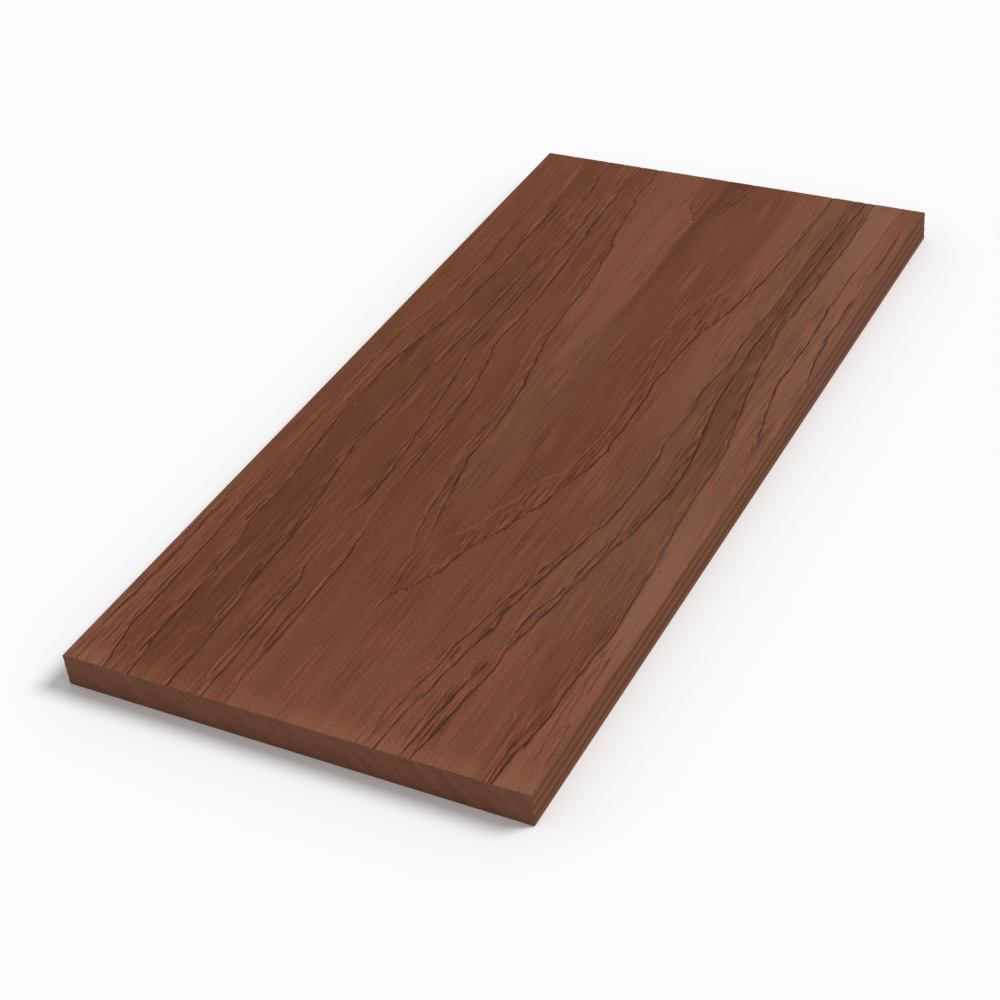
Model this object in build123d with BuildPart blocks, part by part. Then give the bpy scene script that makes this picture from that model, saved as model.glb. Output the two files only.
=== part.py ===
"""Fascia board: one solid board of moulded wood-plastic composite, lying on its back.

The section is drawn once and extruded along the board. Its four arrises are eased, each
long edge has a row of shallow flutes, and both ends are sawn square. X runs across the
width, Y along the length, and Z out of the grained face. The origin is at the middle of
the back. All sizes are in millimetres.
"""

import os

from build123d import *

# Stock size
board_length = 600.0
board_width = 286.0
board_thickness = 21.0

# Eased arrises, along the grained face and along the back
face_arris_radius = 1.0
back_arris_radius = 1.5

# Shallow flutes in both long edges, with a flat land left beside each arris
flute_count = 3
flute_depth = 0.25
face_land = 0.4
back_land = 0.4

# The flutes share the flat height of the edge, and each one is an arc of this radius
flutes_bottom = back_arris_radius + back_land
flutes_top = board_thickness - face_arris_radius - face_land
flute_width = (flutes_top - flutes_bottom) / flute_count
flute_radius = (flute_width**2 / 4 + flute_depth**2) / (2 * flute_depth)
flute_axis_offset = board_width / 2 + flute_radius - flute_depth

with BuildPart() as fascia_board:
    with BuildSketch(Plane.XZ) as section:
        Rectangle(board_width, board_thickness, align=(Align.CENTER, Align.MIN))
        corners = section.vertices().group_by(Axis.Y)
        fillet(corners[0], radius=back_arris_radius)
        fillet(corners[-1], radius=face_arris_radius)
        with Locations((0, (flutes_bottom + flutes_top) / 2)):
            with GridLocations(2 * flute_axis_offset, flute_width, 2, flute_count):
                Circle(flute_radius, mode=Mode.SUBTRACT)
    extrude(amount=board_length / 2, both=True)

fascia_board.part.label = "fascia_board"

os.makedirs("parts", exist_ok=True)
export_step(fascia_board.part, "parts/fascia_board.step")
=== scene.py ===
"""Fascia board: the look of one short length of embossed wood-plastic composite, face up on a pale floor."""

import math

import bpy
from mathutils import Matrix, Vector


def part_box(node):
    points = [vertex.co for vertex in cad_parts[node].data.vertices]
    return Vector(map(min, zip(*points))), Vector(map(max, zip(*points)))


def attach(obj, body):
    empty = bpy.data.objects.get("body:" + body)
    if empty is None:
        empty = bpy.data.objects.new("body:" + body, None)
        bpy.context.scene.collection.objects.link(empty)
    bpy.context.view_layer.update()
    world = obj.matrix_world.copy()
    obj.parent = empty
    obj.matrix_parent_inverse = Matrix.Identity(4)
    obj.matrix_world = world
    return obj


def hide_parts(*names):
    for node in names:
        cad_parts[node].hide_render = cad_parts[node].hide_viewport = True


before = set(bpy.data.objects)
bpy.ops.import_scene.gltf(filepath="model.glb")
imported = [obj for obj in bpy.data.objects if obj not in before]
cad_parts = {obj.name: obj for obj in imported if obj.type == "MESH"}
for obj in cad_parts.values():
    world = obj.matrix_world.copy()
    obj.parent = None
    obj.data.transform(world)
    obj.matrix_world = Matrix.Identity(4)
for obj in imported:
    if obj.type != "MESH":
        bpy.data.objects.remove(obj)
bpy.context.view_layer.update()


# Board blank: solid wood-plastic composite, pushed through a die that eases its arrises and
# leaves shallow flutes along both long edges, and then cut square at both ends by a saw.
MM = 0.001
low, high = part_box("fascia_board")
width = high[0] - low[0]
length = high[1] - low[1]
thickness = high[2] - low[2]

face_arris = 1.0 * MM
back_arris = 1.5 * MM
flute_count = 3
flute_depth = 0.25 * MM
land = 0.4 * MM

half_columns = 180
rows = 210
arris_steps = 5
flute_steps = 8
back_strips = 9
tiny = 0.01 * MM


def arris_arc(radius, centre_z, start, end):
    """Points of one eased arris, as (x, z), between two angles measured from +X."""
    centre_x = width / 2 - radius
    turns = [start + (end - start) * step / arris_steps for step in range(arris_steps + 1)]
    return [(centre_x + radius * math.cos(turn), centre_z + radius * math.sin(turn)) for turn in turns]


def flute_row():
    """Points of the flutes of one long edge, as (x, z), from the face side down."""
    top = thickness - face_arris - land
    bottom = back_arris + land
    steps = flute_count * flute_steps
    points = []
    for step in range(steps + 1):
        across_flute = 2 * (step % flute_steps) / flute_steps - 1
        hollow = flute_depth * (1 - across_flute**2)
        points.append((width / 2 - hollow, top + (bottom - top) * step / steps))
    return points


def pick(piece, kind, wanted):
    """Goes to edit mode with just those edges or faces selected whose corners are all wanted."""
    bpy.ops.object.mode_set(mode="EDIT")
    bpy.ops.mesh.select_mode(type=kind)
    bpy.ops.mesh.select_all(action="DESELECT")
    bpy.ops.object.mode_set(mode="OBJECT")
    for part in piece.data.edges if kind == "EDGE" else piece.data.polygons:
        part.select = all(wanted(piece.data.vertices[corner].co) for corner in part.vertices)
    bpy.ops.object.mode_set(mode="EDIT")


# Half of the face is a fine grid, and its long border is drawn out round the edge to the back
bpy.ops.object.select_all(action="DESELECT")
half_face = width / 2 - face_arris
bpy.ops.mesh.primitive_grid_add(
    x_subdivisions=half_columns, y_subdivisions=rows, size=1, location=(half_face / 2, 0, thickness)
)
board = bpy.context.object
board.name = "embossed_board"
board.scale = (half_face, length, 1)
bpy.ops.object.transform_apply(location=True, rotation=False, scale=True)

edge_path = arris_arc(face_arris, thickness - face_arris, math.pi / 2, 0)
edge_path += flute_row()
edge_path += arris_arc(back_arris, back_arris, 0, -math.pi / 2)
pick(board, "EDGE", lambda spot: spot.x > half_face - tiny)
for (x, z), (next_x, next_z) in zip(edge_path, edge_path[1:]):
    bpy.ops.mesh.extrude_region_move(TRANSFORM_OT_translate={"value": (next_x - x, 0, next_z - z)})
bpy.ops.object.mode_set(mode="OBJECT")

other_half = board.modifiers.new("other half", "MIRROR")
other_half.merge_threshold = tiny
bpy.ops.object.modifier_apply(modifier=other_half.name)

# The back is bridged from edge to edge, and the saw cuts close the two ends
pick(board, "EDGE", lambda spot: spot.z < tiny)
bpy.ops.mesh.bridge_edge_loops(number_cuts=back_strips - 1)
bpy.ops.mesh.select_all(action="SELECT")
bpy.ops.mesh.fill_holes(sides=0)
bpy.ops.mesh.normals_make_consistent(inside=False)
bpy.ops.object.mode_set(mode="OBJECT")


# Embossed grain: an engraved roller presses annual rings into the warm face, as long grooves with
# a sloping bank on one side and a steep torn wall on the other, closing in a cathedral point.

# Each ring is drawn from the far end to the near end as (along, across, depth), in
# millimetres from the far end and from the left edge, with depth from 0 to 1. Tone is how pale
# the wood is to the right of the ring, from 0 to 1, at some places along, and fade is how softly
# it changes, in millimetres. Torn fibres split every ring but a whole one, which stays smooth.
usual_fade = 2.2
rings = {
    "left edge": {
        "path": [(0, 0, 0), (600, 0, 0)],
        "tone": [(0, 0.5), (75, 0.43), (150, 0.4), (250, 0.38), (330, 0.43), (400, 0.49), (480, 0.63),
                 (600, 0.7)],
    },
    "left margin": {
        "path": [(0, 22, 0.4), (100, 24, 0.7), (165, 27.5, 0.9), (190, 27, 0.8), (222, 21.5, 0.8),
                 (250, 16.5, 0.8), (340, 15, 0.6), (420, 16, 0.7), (475, 20.5, 0.9), (525, 21.5, 0.9),
                 (565, 21.5, 1), (578, 24, 1), (600, 27.5, 0.9)],
        "tone": [(0, 0.4), (100, 0.35), (300, 0.33), (400, 0.34), (480, 0.36), (600, 0.34)],
    },
    "left bow": {
        "path": [(0, 30, 0.2), (50, 36, 0.6), (75, 40, 0.9), (95, 41, 0.9), (120, 40, 0.9),
                 (150, 41.5, 0.9), (180, 41, 0.9), (205, 40, 1), (228, 37.5, 0.9), (250, 34, 1),
                 (272, 29.5, 0.9), (290, 27.5, 0.9), (315, 28, 0.7), (340, 26.5, 0.7), (380, 30, 0.9),
                 (425, 34, 0.8), (440, 33, 0.9), (460, 32.5, 0.8), (468, 34.5, 0.8), (478, 36, 0.9),
                 (490, 37.5, 0.9), (502, 38, 0.8), (507, 39.7, 0.8), (528, 39, 0.9), (555, 39.7, 1),
                 (572, 40.5, 0.9), (580, 42.6, 0.9), (600, 43.4, 0.8)],
        "tone": [(0, 0.27), (100, 0.18), (190, 0.25), (270, 0.22), (340, 0.12), (410, 0.03), (480, 0.08),
                 (560, 0.16), (600, 0.34)],
    },
    "second left": {
        "path": [(0, 49, 0.5), (30, 53, 0.8), (50, 56, 0.8), (65, 54, 0.6), (90, 58, 0.6),
                 (150, 60, 0.8), (230, 59, 0.9), (272, 56.5, 0.8), (300, 54.5, 0.8), (370, 52, 0.8),
                 (395, 55, 0.9), (432, 60, 0.9), (442, 62.5, 0.9), (455, 63.5, 1), (484, 64, 1),
                 (513, 65.5, 1), (528, 67, 1), (557, 68, 1), (600, 69, 1)],
        "tone": [(0, 0.35), (80, 0.31), (150, 0.28), (300, 0.27), (390, 0.24), (450, 0.29), (600, 0.36)],
    },
    "third left": {
        "path": [(0, 62, 0.3), (40, 65, 0.6), (85, 69, 1), (150, 70, 0.9), (200, 70.5, 0.9),
                 (255, 70, 0.8), (290, 76, 0.9), (345, 82.5, 0.8), (390, 87, 1), (420, 88, 0.9),
                 (440, 85.5, 0.6), (482, 85.3, 0.6), (490, 86.5, 0.9), (495, 89, 0.9), (505, 90, 0.9),
                 (560, 90.6, 0.9), (600, 91, 0.9)],
        "tone": [(0, 0.46), (100, 0.38), (190, 0.31), (340, 0.35), (500, 0.39), (600, 0.42)],
    },
    "fourth left": {
        "path": [(0, 75.5, 0.8), (20, 74, 0.8), (70, 76, 0.9), (92, 77, 1), (107, 79, 0.9),
                 (185, 83.5, 0.9), (215, 83, 0.9), (235, 81.5, 0.9), (250, 82.5, 0.9), (265, 87.5, 0.9),
                 (285, 90.5, 1), (305, 94, 0.9), (345, 95.5, 0.9), (385, 97.5, 0.8), (420, 97, 0.5),
                 (440, 100.5, 0.6), (455, 102.2, 0.8), (466, 103.7, 0.9), (478, 104.7, 0.9),
                 (528, 104.2, 0.9), (555, 104.7, 1), (563, 103.6, 0.8), (575, 103.3, 0.6),
                 (590, 105.3, 0.7), (600, 106, 0.7)],
        "tone": [(0, 0.34), (100, 0.32), (190, 0.3), (260, 0.29), (340, 0.23), (400, 0.27), (480, 0.4),
                 (540, 0.48), (600, 0.53)],
    },
    "cathedral left arm": {
        "path": [(0, 89, 0.7), (21, 90.4, 0.8), (26, 87.8, 0.8), (44, 89.4, 0.9), (53, 92.8, 0.9),
                 (62, 93.2, 0.9), (78, 95, 1), (83, 96.6, 1), (94, 96.5, 1), (99, 98.8, 1),
                 (108, 100.6, 1),
                 (115, 102.9, 1), (129, 103.6, 1), (136, 105.7, 1), (160, 107.8, 0.9),
                 (212, 109, 0.9), (235, 112, 1),
                 (282, 121, 1), (300, 123, 1), (320, 124.5, 1), (362, 124.5, 1), (380, 128, 1),
                 (425, 136.5, 0.8), (440, 139.5, 0.5), (465, 141.5, 0.7), (482, 142.3, 0.8),
                 (497, 142.5, 0), (600, 142.5, 0)],
        "tone": [(0, 0.66), (100, 0.74), (190, 0.66), (250, 0.54), (300, 0.42), (350, 0.32), (410, 0.28),
                 (480, 0.34), (600, 0.42)],
    },
    "heart boundary": {
        "path": [(0, 128, 0), (30, 129, 0), (45, 133, 0), (55, 139.5, 0), (62, 142, 0.6),
                 (130, 142.5, 0.6),
                 (170, 141, 0.3), (220, 139.5, 0), (300, 137.5, 0), (400, 139.5, 0), (440, 143, 0),
                 (600, 145, 0)],
        "tone": [(0, 0.34), (40, 0.3), (60, 0.14), (110, 0.18), (150, 0.28), (230, 0.34), (320, 0.42),
                 (380, 0.38), (430, 0.27), (520, 0.3), (600, 0.36)],
        "fade": 5,
    },
    "far heart": {
        "path": [(0, 143, 0.5), (50, 143, 0.6), (60, 142.5, 0), (130, 143, 0), (200, 141, 0),
                 (600, 145, 0)],
        "tone": [(0, 0.05), (45, 0.05), (60, 0.12), (110, 0.18), (150, 0.28), (230, 0.34), (320, 0.42),
                 (380, 0.38), (430, 0.27), (520, 0.3), (600, 0.36)],
        "fade": 3,
    },
    "heart": {
        "path": [(0, 164, 0), (25, 161, 0), (42, 157, 0), (50, 151, 0), (56, 148.5, 0), (130, 149, 0),
                 (270, 152, 0),
                 (400, 156, 0), (600, 146, 0)],
        "tone": [(0, 0.35), (150, 0.35), (260, 0.29), (330, 0.3), (450, 0.33), (560, 0.39), (600, 0.43)],
        "fade": 5,
    },
    "far inner arm": {
        "path": [(0, 216, 0), (85, 213, 0), (92, 211, 0.36), (100, 209, 0.4), (113, 206, 0.4),
                 (120, 204.5, 0.4),
                 (122, 200, 0.4), (126, 197.5, 0.4), (135, 195, 0.4), (150, 190.5, 0.4),
                 (165, 187.5, 0.4),
                 (183, 186.8, 0.4), (192, 184.5, 0.4), (198, 181, 0.4), (208, 179, 0.4),
                 (222, 178.5, 0), (600, 178, 0)],
        "whole": True,
    },
    "inner arm": {
        "path": [(0, 212, 0), (190, 210, 0), (196, 187, 0), (235, 190, 0), (275, 193, 0), (310, 193, 0),
                 (325, 189, 0), (335, 187.5, 0.3), (345, 186.8, 0.36), (354, 185.3, 0.36),
                 (358, 183, 0.36),
                 (361, 179.5, 0.36), (365, 176, 0.36), (372, 174.5, 0.36), (386, 171.5, 0.36),
                 (395, 167.8, 0.36),
                 (400, 164.8, 0.36), (412, 162, 0.36), (420, 159, 0.36), (428, 154, 0.36),
                 (433, 149.5, 0.36),
                 (440, 147.3, 0.36), (450, 146.5, 0.3), (465, 146, 0), (600, 146, 0)],
        "tone": [(0, 0.35), (200, 0.28), (340, 0.25), (430, 0.27), (480, 0.33), (600, 0.43)],
        "whole": True,
    },
    "pale flank": {
        "path": [(0, 195.5, 0), (60, 198, 0), (160, 200, 0), (600, 200, 0)],
        "tone": [(0, 0.74), (40, 0.74), (120, 0.76), (150, 0.58), (185, 0.34), (600, 0.4)],
        "fade": 10,
    },
    "cathedral right arm": {
        "path": [(0, 220.5, 0.9), (55, 219.5, 0.9), (98, 217, 1), (120, 215.5, 0.9), (138, 212, 1),
                 (162, 208.5, 0.9), (173, 206, 0.9), (192, 200, 1), (212, 198.5, 1), (225, 197, 1),
                 (238, 198, 1), (250, 196, 1), (268, 198, 1), (297, 199, 1), (315, 198, 1),
                 (325, 199.5, 1), (345, 196.5, 1), (370, 190, 0.9), (390, 185.5, 1), (405, 179, 1),
                 (421, 174, 1), (425, 170.5, 1), (440, 164.5, 1), (450, 162, 1), (462, 160, 1),
                 (468, 157.5, 1), (472, 154.5, 1), (477, 153, 1), (482, 149, 1), (486, 146, 1),
                 (490, 144, 1), (497, 142.7, 0.8), (508, 142, 0.4), (520, 142, 0), (600, 142, 0)],
        "tone": [(0, 0.54), (60, 0.42), (130, 0.6), (180, 0.66), (250, 0.58), (330, 0.47), (370, 0.48),
                 (410, 0.45), (500, 0.45), (560, 0.57), (600, 0.64)],
    },
    "first right": {
        "path": [(0, 236, 0.6), (80, 234.5, 0.7), (150, 233.5, 0.8), (180, 231.5, 0.8),
                 (220, 231.5, 0.8),
                 (252, 227.5, 0.8), (275, 230.5, 0.7), (302, 228, 0.7), (325, 231, 0.9),
                 (370, 230.5, 0.9),
                 (390, 228.5, 0.9), (408, 224, 1), (450, 215.5, 1), (480, 210, 1), (490, 211, 1),
                 (500, 209, 1), (530, 204.2, 0.9), (540, 202.7, 1), (552, 202, 1), (558, 200, 0.8),
                 (570, 198, 0.8), (600, 196, 0.9)],
        "tone": [(0, 0.42), (60, 0.21), (150, 0.26), (200, 0.32), (270, 0.42), (330, 0.5), (370, 0.52),
                 (420, 0.6), (460, 0.48), (520, 0.56), (600, 0.62)],
    },
    "dark strip": {
        "path": [(0, 245, 0), (200, 240, 0), (260, 239.5, 0.2), (340, 243, 0.3), (400, 243, 0),
                 (600, 220, 0)],
        "tone": [(0, 0.24), (260, 0.12), (370, 0.12), (410, 0.36), (600, 0.48)],
        "fade": 5,
    },
    "second right": {
        "path": [(0, 244.5, 0.9), (45, 242.5, 0.9), (95, 241.5, 0.9), (125, 241.5, 0.9), (190, 239, 0.9),
                 (250, 240.5, 0.9), (275, 243.5, 1), (300, 247.5, 1), (325, 251, 1), (352, 251, 1),
                 (370, 248.5, 0.9), (395, 246, 0.9), (408, 242, 0.9), (425, 239, 0.9), (450, 235, 0.9),
                 (490, 228.5, 1), (510, 225, 1), (527, 226, 0.9), (545, 223, 1), (570, 221, 1),
                 (600, 217, 1)],
        "tone": [(0, 0.56), (60, 0.24), (150, 0.1), (260, 0.17), (330, 0.28), (370, 0.42), (420, 0.5),
                 (470, 0.54), (540, 0.56), (600, 0.58)],
    },
    "brown strip": {
        "path": [(0, 250.5, 0), (200, 250, 0), (300, 264.5, 0), (360, 266, 0), (400, 258, 0),
                 (430, 246, 0),
                 (600, 247, 0)],
        "tone": [(0, 0.5), (80, 0.4), (180, 0.28), (260, 0.36), (400, 0.42), (430, 0.4), (500, 0.4),
                 (560, 0.44),
                 (600, 0.53)],
        "fade": 8,
    },
    "third right": {
        "path": [(0, 250.5, 0.7), (40, 251.5, 0.8), (80, 251, 0.9), (97, 250, 1), (118, 250.8, 1),
                 (134, 248.7, 0.9), (150, 248.6, 0.9), (172, 247, 0.9), (189, 249.3, 0.9),
                 (215, 250.8, 1), (257, 257, 1), (298, 264.5, 0.8), (320, 266, 0.8),
                 (360, 266, 0.9), (430, 270.5, 0.9), (450, 271.4, 0.9), (480, 272.5, 0.9),
                 (490, 271.7, 1),
                 (496, 270.5, 1), (508, 270.2, 1), (513, 269, 0.9), (545, 269, 0.9), (566, 267, 1),
                 (575, 264.5, 1), (590, 264, 1), (600, 263, 0.9)],
        "tone": [(0, 1), (60, 0.88), (120, 0.78), (190, 0.64), (250, 0.72), (300, 0.72), (350, 0.7),
                 (430, 0.94),
                 (490, 1), (540, 0.84), (600, 0.8)],
    },
    "fourth right": {
        "path": [(0, 269, 0.4), (45, 269.3, 0.5), (70, 268.5, 0.5), (100, 267.7, 0.8), (122, 268, 0.8),
                 (133, 267, 0.9), (144, 268.3, 0.9), (165, 269, 0.9), (197, 269, 0.9), (224, 268.4, 0.9),
                 (240, 269.5, 0.9), (257, 272.5, 0.9), (290, 279.5, 0.7), (320, 283, 0.5),
                 (400, 285.5, 0.3), (600, 286, 0)],
        "tone": [(0, 0.66), (60, 0.76), (100, 0.84), (200, 0.85), (300, 0.66), (600, 0.7)],
    },
    "right margin": {
        "path": [(0, 277.5, 0.3), (25, 277, 0.3), (40, 279.8, 0.8), (58, 280, 0.8), (76, 279.8, 0.7),
                 (92, 277.8, 0.5), (106, 279.2, 0.6), (121, 279.2, 0.6), (135, 278, 0.9),
                 (150, 279.2, 0.7),
                 (161, 278.3, 0.9), (173, 279.2, 0.9), (196, 280.4, 0.9), (207, 282.5, 0.9),
                 (227, 286, 0.5), (600, 290, 0)],
        "tone": [(0, 0.56), (60, 0.68), (100, 0.74), (200, 0.7), (600, 0.6)],
    },
}

# Shorter tears beside the rings, drawn the same way
tears = [
    [(40, 85, 0), (60, 90, 0.6), (105, 94, 0.5), (140, 98, 0.6), (195, 101, 0.5), (245, 107, 0.4),
     (285, 113.5, 0.5), (300, 116, 0)],
    [(295, 114.5, 0), (303, 115.5, 0.6), (350, 118.5, 0.6), (375, 122, 0.7), (395, 125.5, 0.8),
     (415, 126.5, 0.7), (440, 132, 0.7), (460, 138, 0)],
    [(0, 163, 0.7), (25, 160, 0.8), (42, 156, 0.9), (47, 153.5, 0.9), (49, 149, 0.7), (52, 143, 0.8),
     (57, 140.5, 0.6), (62, 140, 0)],
    [(25, 127, 0), (38, 129.5, 0.7), (46, 133, 0.9), (52, 138, 0.9), (56, 140.5, 0.9), (60, 141, 0)],
    [(8, 155.5, 0), (15, 155, 0.6), (30, 154, 0.7), (44, 152.5, 0.5), (48, 152, 0)],
    [(172, 195.8, 0), (176, 195.8, 0.8), (188, 196, 0.8), (193, 196.2, 0)],
    [(173, 199.3, 0), (177, 199.3, 0.8), (187, 199.5, 0.8), (191, 199.8, 0)],
    [(137, 195, 0), (142, 195, 0.8), (150, 195, 0.8), (155, 195, 0)],
    [(138, 200.8, 0), (145, 200.8, 0.7), (160, 200.5, 0.7), (168, 200.3, 0)],
    [(150, 190.5, 0), (156, 190.5, 0.7), (172, 189.5, 0.7), (178, 189, 0)],
    [(195, 184.5, 0), (205, 184.5, 0.7), (235, 188, 0.7), (275, 191, 0.7), (298, 192, 0.6),
     (338, 189, 0.6),
     (345, 188.5, 0)],
    [(330, 188, 0), (336, 188.3, 0.7), (350, 188, 0.7), (356, 187.5, 0)],
    [(335, 194.5, 0), (342, 194, 0.6), (354, 193.5, 0.6), (360, 193, 0)],
    [(364, 180.5, 0), (369, 180.3, 0.7), (376, 180.2, 0.6), (380, 180, 0)],
    [(368, 176.3, 0), (374, 176, 0.8), (390, 176, 0.7), (396, 175.5, 0)],
    [(396, 172, 0), (402, 172, 0.8), (412, 172, 0.7), (418, 171.8, 0)],
    [(413, 164, 0), (420, 163.8, 0.7), (438, 163.5, 0.8), (447, 163, 0)],
    [(417, 161, 0), (423, 160.8, 0.7), (434, 160.5, 0.6), (440, 160.3, 0)],
    [(456, 154, 0), (462, 153.8, 0.6), (474, 153.8, 0.6), (480, 153.5, 0)],
    [(365, 183, 0), (372, 182, 0.7), (385, 180, 0.8), (395, 179, 0)],
    [(390, 224.5, 0), (400, 222.5, 0.7), (428, 217, 0.8), (440, 213, 0.9), (458, 211, 0)],
    [(450, 212.5, 0), (456, 210, 0.7), (467, 207.7, 0.8), (481, 204, 0.8), (499, 201, 0.9),
     (516, 198, 0.9),
     (540, 196, 0.8), (553, 194, 0.8), (577, 191.5, 0.7), (600, 190, 0.6)],
    [(510, 201.5, 0), (515, 201, 0.8), (528, 200.5, 0.8), (533, 200, 0)],
    [(530, 193, 0), (538, 193, 0.6), (552, 191, 0.6), (558, 190.5, 0)],
    [(383, 243, 0), (395, 241, 0.7), (410, 237, 0.8), (435, 232.5, 0.8), (444, 231.5, 0)],
    [(440, 233, 0), (449, 232, 0.7), (459, 230.5, 0.8), (466, 227.6, 0.8), (474, 225.4, 0.9),
     (484, 224, 0.9),
     (492, 223, 0.8), (497, 223, 0)],
    [(516, 220.5, 0), (522, 220.2, 0.9), (528, 219.5, 0.9), (534, 217.5, 0.8), (552, 215.8, 0.9),
     (570, 213.6, 0.9),
     (581, 212.9, 0.9), (600, 211.5, 0.8)],
    [(450, 250, 0), (458, 250, 0.4), (484, 250.5, 0.4), (492, 251, 0)],
    [(462, 254, 0), (470, 254, 0.4), (482, 254.5, 0.4), (490, 255, 0)],
    [(530, 250, 0), (540, 251, 0.5), (552, 252.5, 0.5), (560, 253.5, 0)],
    [(532, 265, 0), (542, 264.5, 0.8), (570, 262, 0.8), (585, 260.5, 0.8), (600, 261.5, 0.6)],
    [(35, 35, 0), (42, 35.2, 0.6), (58, 36, 0)],
    [(486, 60.3, 0), (491, 60.3, 0.9), (500, 60.5, 0.9), (505, 61.8, 0.8), (514, 62, 0.8),
     (518, 62.3, 0)],
    [(518, 63.2, 0), (524, 63.2, 0.8), (540, 63.4, 0.7), (547, 63.5, 0)],
    [(505, 101.3, 0), (509, 101.2, 0.9), (522, 101, 0.9), (528, 100, 0.8), (535, 100, 0.8),
     (540, 101.2, 0.9),
     (551, 101.3, 0.9), (556, 101.5, 0)],
    [(511, 87, 0), (517, 86.8, 0.9), (530, 86, 0.9), (558, 86.8, 0.7), (580, 86.5, 0.6), (590, 86.5, 0)],
    [(428, 11.5, 0), (440, 10, 0.6), (449, 7.5, 0.8), (470, 6.6, 0.9), (488, 8, 1), (510, 8, 1),
     (543, 7.3, 1),
     (562, 6.2, 0.9), (580, 5.1, 0.7), (600, 5, 0.6)],
    [(448, 14.7, 0), (456, 14.7, 0.6), (482, 14.7, 0.6), (489, 14.8, 0)],
    [(438, 17.8, 0), (446, 17.6, 0.6), (464, 17.6, 0.6), (471, 17.8, 0)],
    [(502, 18.6, 0), (512, 18.4, 0.9), (528, 17.6, 1), (543, 17.9, 0.9), (548, 18.6, 0)],
    [(430, 29.8, 0), (440, 29.5, 0.9), (460, 30, 1), (465, 30.5, 0)],
    [(565, 39, 0), (570, 39, 1), (579, 39, 1), (584, 39, 0)],
    [(565, 9.5, 0), (575, 9.3, 0.7), (600, 9, 0.6)],
    [(555, 15.4, 0), (565, 15.4, 0.7), (600, 15.6, 0.6)],
    [(480, 12, 0), (490, 12, 0.6), (530, 12.2, 0.6), (540, 12.2, 0)],
    [(573, 33, 0), (582, 33, 0.7), (600, 33.5, 0.7)],
    [(548, 57, 0), (556, 57, 0.5), (590, 58, 0.5), (600, 58, 0.4)],
    [(458, 47, 0), (466, 47, 0.4), (515, 47, 0.4), (524, 47, 0)],
    [(270, 22, 0), (280, 21.5, 0.3), (345, 21, 0.3), (365, 21, 0)],
    [(470, 277, 0), (480, 277.5, 0.6), (520, 280, 0.6), (535, 281, 0)],
    [(485, 274, 0), (495, 274.5, 0.6), (540, 277, 0.6), (555, 278, 0)],
    [(525, 273, 0), (535, 273.5, 0.6), (575, 276, 0.6), (590, 277, 0)],
    [(540, 281, 0), (550, 281.5, 0.6), (580, 283, 0.6), (595, 283.5, 0)],
    [(283, 277, 0), (292, 278, 0.7), (308, 280, 0.6), (320, 281, 0)],
    [(318, 271, 0), (325, 271, 0.6), (336, 271.5, 0.5), (345, 272, 0)],
    [(50, 30.5, 0), (57, 30, 0.5), (66, 29.5, 0.5), (72, 29.5, 0)],
    [(0, 273, 0.35), (40, 273.5, 0.35), (90, 274, 0.35), (125, 274.5, 0.3), (140, 274.5, 0)],
    [(0, 282.5, 0.4), (30, 282, 0.4), (60, 283, 0.3), (80, 283, 0)],
]

bank_width = 2.0 * MM
wall_width = 1.1 * MM
ragged_left = 11 * MM
ragged_right = 4 * MM
fibre_width = 2.2 * MM
fibre_length = 40 * MM
fibre_reach = 5.5 * MM
jog_width = 7 * MM
jog_length = 16 * MM
jog_reach = 0.5 * MM
grain_depth = 0.55 * MM


def add(tree, kind, inputs=None, **options):
    """Adds a node, sets its options, and sets or links its inputs by name or place."""
    made = tree.nodes.new(kind)
    for name, value in options.items():
        setattr(made, name, value)
    for place, value in (inputs or {}).items():
        if isinstance(value, bpy.types.NodeSocket):
            tree.links.new(value, made.inputs[place])
        else:
            made.inputs[place].default_value = value
    return made


def maths(tree, operation, *values):
    """The result of a Math node on one to three numbers or sockets."""
    return add(tree, "ShaderNodeMath", dict(enumerate(values)), operation=operation).outputs[0]


def ramp(tree, value, start, end):
    """A value that rises smoothly from 0 at start to 1 at end, and stays there."""
    smooth = {"interpolation_type": "SMOOTHSTEP", "clamp": False}
    return add(tree, "ShaderNodeMapRange", {0: value, 1: start, 2: end}, **smooth).outputs[0]


def noise(tree, position, size_x, size_y, detail=1.0):
    """Flat noise from 0 to 1, with spots of this size along X and Y."""
    stretch = {0: position, 1: (1 / size_x, 1 / size_y, 0)}
    spot = add(tree, "ShaderNodeVectorMath", stretch, operation="MULTIPLY").outputs[0]
    settings = {"Vector": spot, "Scale": 1.0, "Detail": detail}
    return add(tree, "ShaderNodeTexNoise", settings, noise_dimensions="2D").outputs[0]


def swing(tree, position, size_x, size_y, detail=1.0):
    """The same noise about zero, from -0.5 to 0.5."""
    return maths(tree, "SUBTRACT", noise(tree, position, size_x, size_y, detail), 0.5)


def drawn(tree, along, points):
    """A value drawn along the board, from points of (along in mm, value from 0 to 1)."""
    made = add(tree, "ShaderNodeFloatCurve", {"Value": along})
    made.mapping.extend = "HORIZONTAL"
    points = [(place * MM / length, value) for place, value in points]
    curve = made.mapping.curves[0]
    curve.points[0].location = points[0]
    curve.points[1].location = points[-1]
    for point in points[1:-1]:
        curve.points.new(*point)
    for point in curve.points:
        point.handle_type = "VECTOR"
    made.mapping.update()
    return made.outputs[0]


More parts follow.
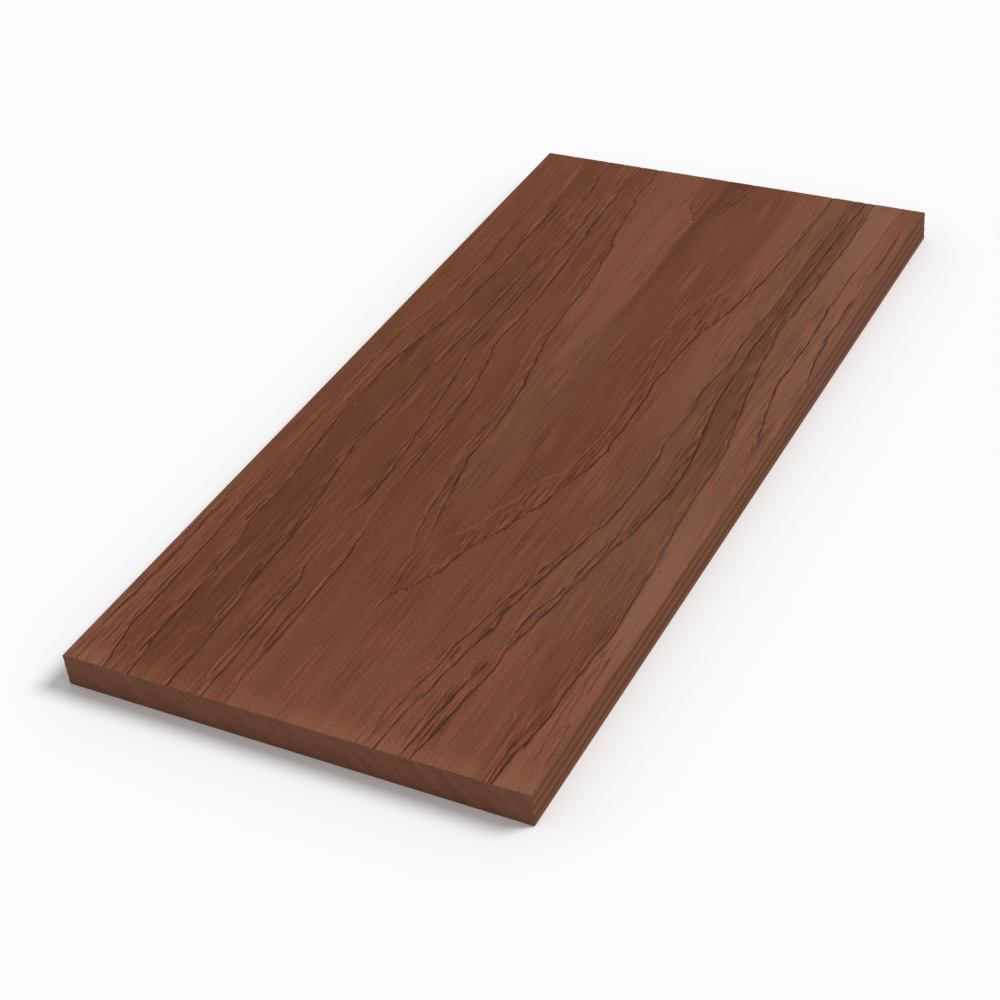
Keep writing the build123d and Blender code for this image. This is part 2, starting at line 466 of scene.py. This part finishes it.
def grain_lines(kind):
    """The grain as a node group of this kind: how deep, how ragged and how pale each place is."""
    tree = bpy.data.node_groups.new("grain lines", kind)
    tree.interface.new_socket("Position", in_out="INPUT", socket_type="NodeSocketVector")
    tree.interface.new_socket("Groove", in_out="OUTPUT", socket_type="NodeSocketFloat")
    tree.interface.new_socket("Ragged", in_out="OUTPUT", socket_type="NodeSocketFloat")
    tree.interface.new_socket("Tone", in_out="OUTPUT", socket_type="NodeSocketFloat")
    position = tree.nodes.new("NodeGroupInput").outputs[0]

    # Torn fibres carry each line a little way along the board, and it jogs from side to side
    x, y, _ = add(tree, "ShaderNodeSeparateXYZ", {0: position}).outputs
    fibre = swing(tree, position, fibre_width, fibre_length)
    whole = maths(tree, "MULTIPLY_ADD", y, -1 / length, 0.5)
    split = maths(tree, "MULTIPLY_ADD", fibre, 2 * fibre_reach / length, whole)
    jog = ramp(tree, noise(tree, position, jog_width, jog_length), 0.4, 0.6)
    across = maths(tree, "MULTIPLY_ADD", x, 1 / width, 0.5)
    across = maths(tree, "MULTIPLY_ADD", jog, jog_reach / width, across)

    groove, ragged, tone = 0.0, 0.0, 0.4
    for line in [*rings.values(), *({"path": path} for path in tears)]:
        path = line["path"]
        along = whole if "whole" in line else split
        place = drawn(tree, along, [(point[0], point[1] * MM / width) for point in path])
        offset = maths(tree, "SUBTRACT", across, place)
        if any(point[2] for point in path):
            depth = drawn(tree, along, [(point[0], point[2]) for point in path])
            bank = maths(tree, "MULTIPLY_ADD", offset, width / bank_width, 1)
            wall = maths(tree, "MULTIPLY_ADD", offset, -width / wall_width, 1)
            cut = maths(tree, "MULTIPLY", maths(tree, "MINIMUM", bank, wall), depth)
            groove = maths(tree, "MAXIMUM", cut, groove)
            left = maths(tree, "MULTIPLY_ADD", offset, width / ragged_left, depth)
            right = maths(tree, "MULTIPLY_ADD", offset, -width / ragged_right, depth)
            ragged = maths(tree, "MAXIMUM", maths(tree, "MINIMUM", left, right), ragged)
        if "tone" in line:
            fade = line.get("fade", usual_fade) * MM / width
            past = ramp(tree, offset, -fade, fade)
            line_tone = drawn(tree, along, line["tone"])
            tone = add(tree, "ShaderNodeMix", {0: past, 2: tone, 3: line_tone}).outputs[0]
    add(tree, "NodeGroupOutput", {"Groove": groove, "Ragged": ragged, "Tone": tone})
    return tree


# The roller presses the grain down into the face, and it runs out over the arrises
pressing = bpy.data.node_groups.new("pressing", "GeometryNodeTree")
pressing.interface.new_socket("Geometry", in_out="INPUT", socket_type="NodeSocketGeometry")
pressing.interface.new_socket("Geometry", in_out="OUTPUT", socket_type="NodeSocketGeometry")
blank = pressing.nodes.new("NodeGroupInput").outputs[0]
vertex = pressing.nodes.new("GeometryNodeInputPosition").outputs[0]
relief = add(pressing, "GeometryNodeGroup", node_tree=grain_lines("GeometryNodeTree"))
pressing.links.new(vertex, relief.inputs[0])
height = add(pressing, "ShaderNodeSeparateXYZ", {0: vertex}).outputs[2]
on_face = ramp(pressing, height, thickness - face_arris, thickness)
sunk = maths(pressing, "MULTIPLY", maths(pressing, "MULTIPLY", relief.outputs[0], on_face), -grain_depth)
sink = add(pressing, "ShaderNodeCombineXYZ", {2: sunk}).outputs[0]
pressed = add(pressing, "GeometryNodeSetPosition", {"Geometry": blank, "Offset": sink})
marked = pressed.outputs[0]
for mark in ("Ragged", "Tone"):
    marks = {"Geometry": marked, "Name": mark.lower(), "Value": relief.outputs[mark]}
    marked = add(pressing, "GeometryNodeStoreNamedAttribute", marks).outputs[0]
add(pressing, "NodeGroupOutput", {0: marked})

embossing = board.modifiers.new("embossing", "NODES")
embossing.node_group = pressing
bpy.ops.object.modifier_apply(modifier=embossing.name)
bpy.ops.object.shade_smooth_by_angle(angle=math.radians(60))


# Composite: wood flour in coloured plastic, streaked lengthwise as it leaves the die. It is matte, darker
# where the grain is torn open, with painted shade in the grooves, and redder on the lips of the tears, with
# a painted highlight there.
def paint(red, green, blue):
    """A colour written in 8-bit display values, as the linear values that a shader takes."""
    shares = [value / 255 for value in (red, green, blue)]
    linear = [((share + 0.055) / 1.055) ** 2.4 if share > 0.04045 else share / 12.92 for share in shares]
    return (*linear, 1.0)


def group(name, inputs, outputs):
    """A new shader node group with these sockets, and what comes in by its inputs."""
    made = bpy.data.node_groups.new(name, "ShaderNodeTree")
    for label, kind in inputs.items():
        made.interface.new_socket(label, in_out="INPUT", socket_type=kind)
    for label, kind in outputs.items():
        made.interface.new_socket(label, in_out="OUTPUT", socket_type=kind)
    return made, made.nodes.new("NodeGroupInput").outputs


def blend(tree, share, first, second):
    """A colour between two colours."""
    return add(tree, "ShaderNodeMix", {0: share, 6: first, 7: second}, data_type="RGBA").outputs[2]


def material(name):
    """An empty material, its node tree and its object coordinates."""
    made = bpy.data.materials.new(name)
    made.use_nodes = True
    made.node_tree.nodes.clear()
    return made, made.node_tree, add(made.node_tree, "ShaderNodeTexCoord").outputs["Object"]


def plus(tree, total, value, share):
    """A total with a share of another value added to it."""
    return maths(tree, "MULTIPLY_ADD", value, share, total)


def matte_finish(tree, colour, roughness, rise):
    """Closes a material of matte composite with this colour, roughness and height of relief."""
    bump = add(tree, "ShaderNodeBump", {"Strength": 1.0, "Distance": 1.0, "Height": rise}).outputs[0]
    matte = {"Base Color": colour, "Roughness": roughness, "Specular IOR Level": 0.05, "Normal": bump}
    shader = add(tree, "ShaderNodeBsdfPrincipled", matte).outputs[0]
    add(tree, "ShaderNodeOutputMaterial", {0: shader})


def wood_colour(tree, tone, stops):
    """The colour of wood as dark or pale as this tone, from a few colours of that wood."""
    made = add(tree, "ShaderNodeValToRGB", {0: tone})
    made.color_ramp.elements.remove(made.color_ramp.elements[1])
    for place, colour in stops[1:]:
        made.color_ramp.elements.new(place).color = paint(*colour)
    made.color_ramp.elements[0].color = paint(*stops[0][1])
    return made.outputs[0]


# Streaks run along Y: fine ones from single fibres, and broad ones from the flow in the die
streaks, given = group("streaks", {"Position": "NodeSocketVector"},
                       {"Fine": "NodeSocketFloat", "Broad": "NodeSocketFloat"})
fine = swing(streaks, given[0], 1.6 * MM, 48 * MM, 2)
broad = swing(streaks, given[0], 10 * MM, 150 * MM, 2)
add(streaks, "NodeGroupOutput", {"Fine": fine, "Broad": broad})

# Wood flour shows as fine grains in the plastic
flour, given = group("wood flour", {"Position": "NodeSocketVector"}, {"Grains": "NodeSocketFloat"})
grains = swing(flour, given[0], 1.1 * MM, 1.6 * MM, 2)
add(flour, "NodeGroupOutput", {"Grains": grains})

red_wood = [(0, (94, 55, 38)), (0.4, (111, 65, 46)), (0.8, (126, 79, 59)), (1, (134, 88, 68))]
brown_wood = [(0, (93, 59, 44)), (0.4, (110, 70, 52)), (0.8, (126, 83, 64)), (1, (134, 91, 73))]
torn_wood_and_shade = paint(56, 33, 25)
red_lip_highlight = paint(150, 87, 64)
pale_end = 20 * MM
shaded_hollow_start = 0.25 * MM
shaded_hollow_end = 0.9 * MM
shaded_rim_start = 1.2 * MM
shaded_rim_end = 0.4 * MM
burr_spacing = 26 * MM
burr_radius = 1.0 * MM
burr_core = 0.4 * MM
face_roughness = 0.7

embossed, tree, position = material("embossed composite")
grain = add(tree, "ShaderNodeGroup", {0: position}, node_tree=grain_lines("ShaderNodeTree"))
groove = grain.outputs["Groove"]
ragged = add(tree, "ShaderNodeAttribute", attribute_name="ragged").outputs["Fac"]
tone = add(tree, "ShaderNodeAttribute", attribute_name="tone").outputs["Fac"]
fine, broad = add(tree, "ShaderNodeGroup", {0: position}, node_tree=streaks).outputs[:2]
grains = add(tree, "ShaderNodeGroup", {0: position}, node_tree=flour).outputs[0]
x, y, z = add(tree, "ShaderNodeSeparateXYZ", {0: position}).outputs

# The wood is paler at the near end, with painted shade in the hollows of the relief and on the arrises
tone = plus(tree, tone, broad, 0.5)
tone = plus(tree, tone, grains, 0.8)
tone = plus(tree, tone, ramp(tree, y, pale_end - length / 2, -length / 2), 0.28)
# Painted shade: the wood is darkened where the face sinks below its level, in the grooves and down the
# arrises
tone = plus(tree, tone, ramp(tree, z, thickness - shaded_hollow_start, thickness - shaded_hollow_end), -0.3)
# Painted shade: the wood is darkened on the eased arrises along both long edges
shaded_rim = ramp(tree, maths(tree, "ABSOLUTE", x), width / 2 - shaded_rim_start, width / 2 - shaded_rim_end)
tone = plus(tree, tone, shaded_rim, -0.4)

# It is browner towards the far right and on the pale flank inside the cathedral, and red elsewhere
brown = maths(tree, "MULTIPLY", ramp(tree, x, 60 * MM, 90 * MM), ramp(tree, y, -220 * MM, -140 * MM))
flank = maths(tree, "MULTIPLY", ramp(tree, x, -32 * MM, -14 * MM), ramp(tree, x, 20 * MM, 6 * MM))
flank = maths(tree, "MULTIPLY", flank, ramp(tree, maths(tree, "ABSOLUTE", y), 140 * MM, 60 * MM))
brown = plus(tree, brown, flank, 0.6)
wood = blend(tree, brown, wood_colour(tree, tone, red_wood), wood_colour(tree, tone, brown_wood))

# Splinters stand up in bright and dark strokes beside the rings, and faint fibres elsewhere
patch = noise(tree, position, 4 * MM, 40 * MM, 2)
drift = noise(tree, position, 18 * MM, 90 * MM, 1)
splinter = swing(tree, position, 1.3 * MM, 24 * MM, 2)
stroke = maths(tree, "MULTIPLY", splinter, ragged)
fibre = maths(tree, "MULTIPLY", maths(tree, "MULTIPLY", fine, ramp(tree, drift, 0.25, 0.75)), 1.7)
fibre = plus(tree, fibre, stroke, 3.6)
# Painted highlight: the lips on the banks of each groove are made paler and redder, as if lit
lip_highlight = maths(tree, "SUBTRACT", ramp(tree, groove, 0.05, 0.28), ramp(tree, groove, 0.3, 0.5))
lip_highlight = maths(tree, "MULTIPLY", lip_highlight, plus(tree, 0.5, ramp(tree, patch, 0.35, 0.7), 0.5))
# Painted shade: the bottom of each groove is darkened, together with the darker wood torn open there
crack_depth = plus(tree, groove, splinter, 1.1)
broken = plus(tree, 0.6, ramp(tree, patch, 0.3, 0.6), 0.4)
shaded_crack = maths(tree, "MULTIPLY", ramp(tree, crack_depth, 0.28, 0.85), broken)

# Burrs are scattered specks of raised plastic, and pits are a few dark ones
per_cell = {0: position, 1: (1 / burr_spacing, 1 / burr_spacing, 0)}
spot = add(tree, "ShaderNodeVectorMath", per_cell, operation="MULTIPLY").outputs[0]
cells = add(tree, "ShaderNodeTexVoronoi", {"Vector": spot, "Scale": 1.0}, voronoi_dimensions="2D")
chance = add(tree, "ShaderNodeSeparateColor", {0: cells.outputs["Color"]}).outputs[0]
speck = ramp(tree, cells.outputs["Distance"], burr_radius / burr_spacing, burr_core / burr_spacing)
burr = maths(tree, "MULTIPLY", speck, ramp(tree, chance, 0.5, 0.6))
pit = maths(tree, "MULTIPLY", speck, ramp(tree, chance, 0.25, 0.15))

# Lips, with their painted highlight, fibres and burrs lighten the wood, and cracks, with their painted
# shade, fibres and pits darken it
bright = maths(tree, "MAXIMUM", maths(tree, "MULTIPLY", lip_highlight, 0.68), fibre)
bright = maths(tree, "MAXIMUM", maths(tree, "MULTIPLY", burr, 0.8), bright)
dark = maths(tree, "MAXIMUM", maths(tree, "MULTIPLY", shaded_crack, 0.88), maths(tree, "MULTIPLY", fibre, -1))
dark = maths(tree, "MAXIMUM", maths(tree, "MULTIPLY", pit, 0.6), dark)
colour = blend(tree, bright, wood, red_lip_highlight)
colour = blend(tree, dark, colour, torn_wood_and_shade)
rise = maths(tree, "MULTIPLY", fine, 0.12 * MM)
rise = plus(tree, rise, stroke, 0.8 * MM)
rise = plus(tree, rise, burr, 0.3 * MM)
matte_finish(tree, colour, face_roughness, rise)

# The long edges and the back are smooth from the die, with painted shade and painted light in bands along
# the flutes, a darker band in each flute
flute_shade_colour = paint(85, 48, 31)
flute_light_colour = paint(114, 71, 49)
flute_shade_spacing = 6.3 * MM
flute_shade_middle = 9.3 * MM
edge_roughness = 0.65

fluted, tree, position = material("fluted composite")
x, y, z = add(tree, "ShaderNodeSeparateXYZ", {0: position}).outputs
round_edge = add(tree, "ShaderNodeCombineXYZ", {0: maths(tree, "SUBTRACT", z, x), 1: y}).outputs[0]
fine, broad = add(tree, "ShaderNodeGroup", {0: round_edge}, node_tree=streaks).outputs[:2]
turn = 2 * math.pi / flute_shade_spacing
# Painted shade and painted light: the flutes are made darker and paler in bands, as light falls on them
flute_shade_wave = maths(tree, "SINE", maths(tree, "MULTIPLY_ADD", z, turn, math.pi / 2 - flute_shade_middle * turn))
tone = plus(tree, 0.45, fine, 0.8)
tone = plus(tree, tone, broad, 0.5)
tone = plus(tree, tone, flute_shade_wave, 0.45)
colour = blend(tree, tone, flute_shade_colour, flute_light_colour)
rise = maths(tree, "MULTIPLY", fine, 0.08 * MM)
matte_finish(tree, colour, edge_roughness, rise)

# The saw leaves slanting marks and scuffs on the ends, and lays the wood flour bare
dark_cut = paint(100, 63, 46)
pale_cut = paint(132, 88, 69)
saw_slant = 0.8
cut_roughness = 0.8

sawn, tree, position = material("sawn composite")
x, _, z = add(tree, "ShaderNodeSeparateXYZ", {0: position}).outputs
cut_face = add(tree, "ShaderNodeCombineXYZ", {0: x, 1: z}).outputs[0]
grains = add(tree, "ShaderNodeGroup", {0: cut_face}, node_tree=flour).outputs[0]
kerf = add(tree, "ShaderNodeCombineXYZ", {0: plus(tree, x, z, saw_slant), 1: z}).outputs[0]
saw = swing(tree, kerf, 1.2 * MM, 60 * MM, 2)
scuff = swing(tree, kerf, 9 * MM, 14 * MM, 2)
tone = plus(tree, 0.5, grains, 1.2)
tone = plus(tree, tone, saw, 0.8)
tone = plus(tree, tone, scuff, 0.7)
colour = blend(tree, tone, dark_cut, pale_cut)
rise = maths(tree, "MULTIPLY", saw, 0.15 * MM)
matte_finish(tree, colour, cut_roughness, rise)

for layer in (embossed, fluted, sawn):
    board.data.materials.append(layer)
pick(board, "FACE", lambda spot: spot.z < thickness - face_arris + tiny)
board.active_material_index = 1
bpy.ops.object.material_slot_assign()
pick(board, "FACE", lambda spot: abs(spot.y) > length / 2 - tiny)
board.active_material_index = 2
bpy.ops.object.material_slot_assign()
bpy.ops.object.mode_set(mode="OBJECT")

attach(board, "root")
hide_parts("fascia_board")


# Floor: a smooth pale studio floor that the board lies on, white enough to pass into the backdrop.
# It only takes the board's soft shadow.
floor_size = 40.0
bpy.ops.object.select_all(action="DESELECT")
bpy.ops.mesh.primitive_plane_add(size=floor_size, location=(0, 0, 0))
floor = bpy.context.object
floor.name = "floor"
floor_paint = bpy.data.materials.new("pale floor")
floor_paint.use_nodes = True
floor_shader = floor_paint.node_tree.nodes["Principled BSDF"]
floor_shader.inputs["Base Color"].default_value = (0.97, 0.97, 0.97, 1)
floor_shader.inputs["Roughness"].default_value = 1.0
floor_shader.inputs["Specular IOR Level"].default_value = 0.0
floor.data.materials.append(floor_paint)


# Light: a wide white studio sky, and a large soft lamp high behind the board's right edge.
# Together they light a level surface so that a colour shows as it is written.
sky_level = 0.5
lamp_level = 0.5
lamp_azimuth = math.radians(125)
lamp_height = math.radians(48)
lamp_spread = math.radians(25)

sky = bpy.data.worlds.new("studio sky")
bpy.context.scene.world = sky
sky.use_nodes = True
sky_tree = sky.node_tree
rays = add(sky_tree, "ShaderNodeLightPath").outputs
seen = maths(sky_tree, "MAXIMUM", rays["Is Camera Ray"], rays["Is Glossy Ray"])
seen = maths(sky_tree, "MAXIMUM", seen, rays["Is Transmission Ray"])
strength = maths(sky_tree, "MULTIPLY_ADD", seen, 1 - sky_level, sky_level)
background = sky_tree.nodes["Background"]
background.inputs["Color"].default_value = (1, 1, 1, 1)
sky_tree.links.new(strength, background.inputs["Strength"])

bpy.ops.object.light_add(type="SUN", location=(1, 1, 2))
lamp = bpy.context.object
lamp.name = "soft_lamp"
lamp.data.energy = math.pi * lamp_level / math.sin(lamp_height)
lamp.data.angle = lamp_spread
lamp.rotation_euler = (math.pi / 2 - lamp_height, 0, lamp_azimuth)


# Camera: a long lens above the near right corner that looks along the board, turned a little
# about its own axis, as in the photograph.
view_azimuth = math.radians(31.14)
view_height = math.radians(36.69)
view_roll = math.radians(-6.46)
view_distance = 1.2211
view_target = (18.1 * MM, -92.1 * MM, thickness)
view_lens = 76.04

bpy.ops.object.camera_add()
camera = bpy.context.object
camera.data.lens = view_lens
camera.data.sensor_width = 36
reach = view_distance * math.cos(view_height)
camera.location = (
    view_target[0] + reach * math.sin(view_azimuth),
    view_target[1] - reach * math.cos(view_azimuth),
    view_target[2] + view_distance * math.sin(view_height),
)
camera.rotation_euler = (math.pi / 2 - view_height, 0, view_azimuth)
camera.rotation_euler.rotate_axis("Z", view_roll)
bpy.context.scene.camera = camera
bpy.context.scene.view_settings.view_transform = "Standard"
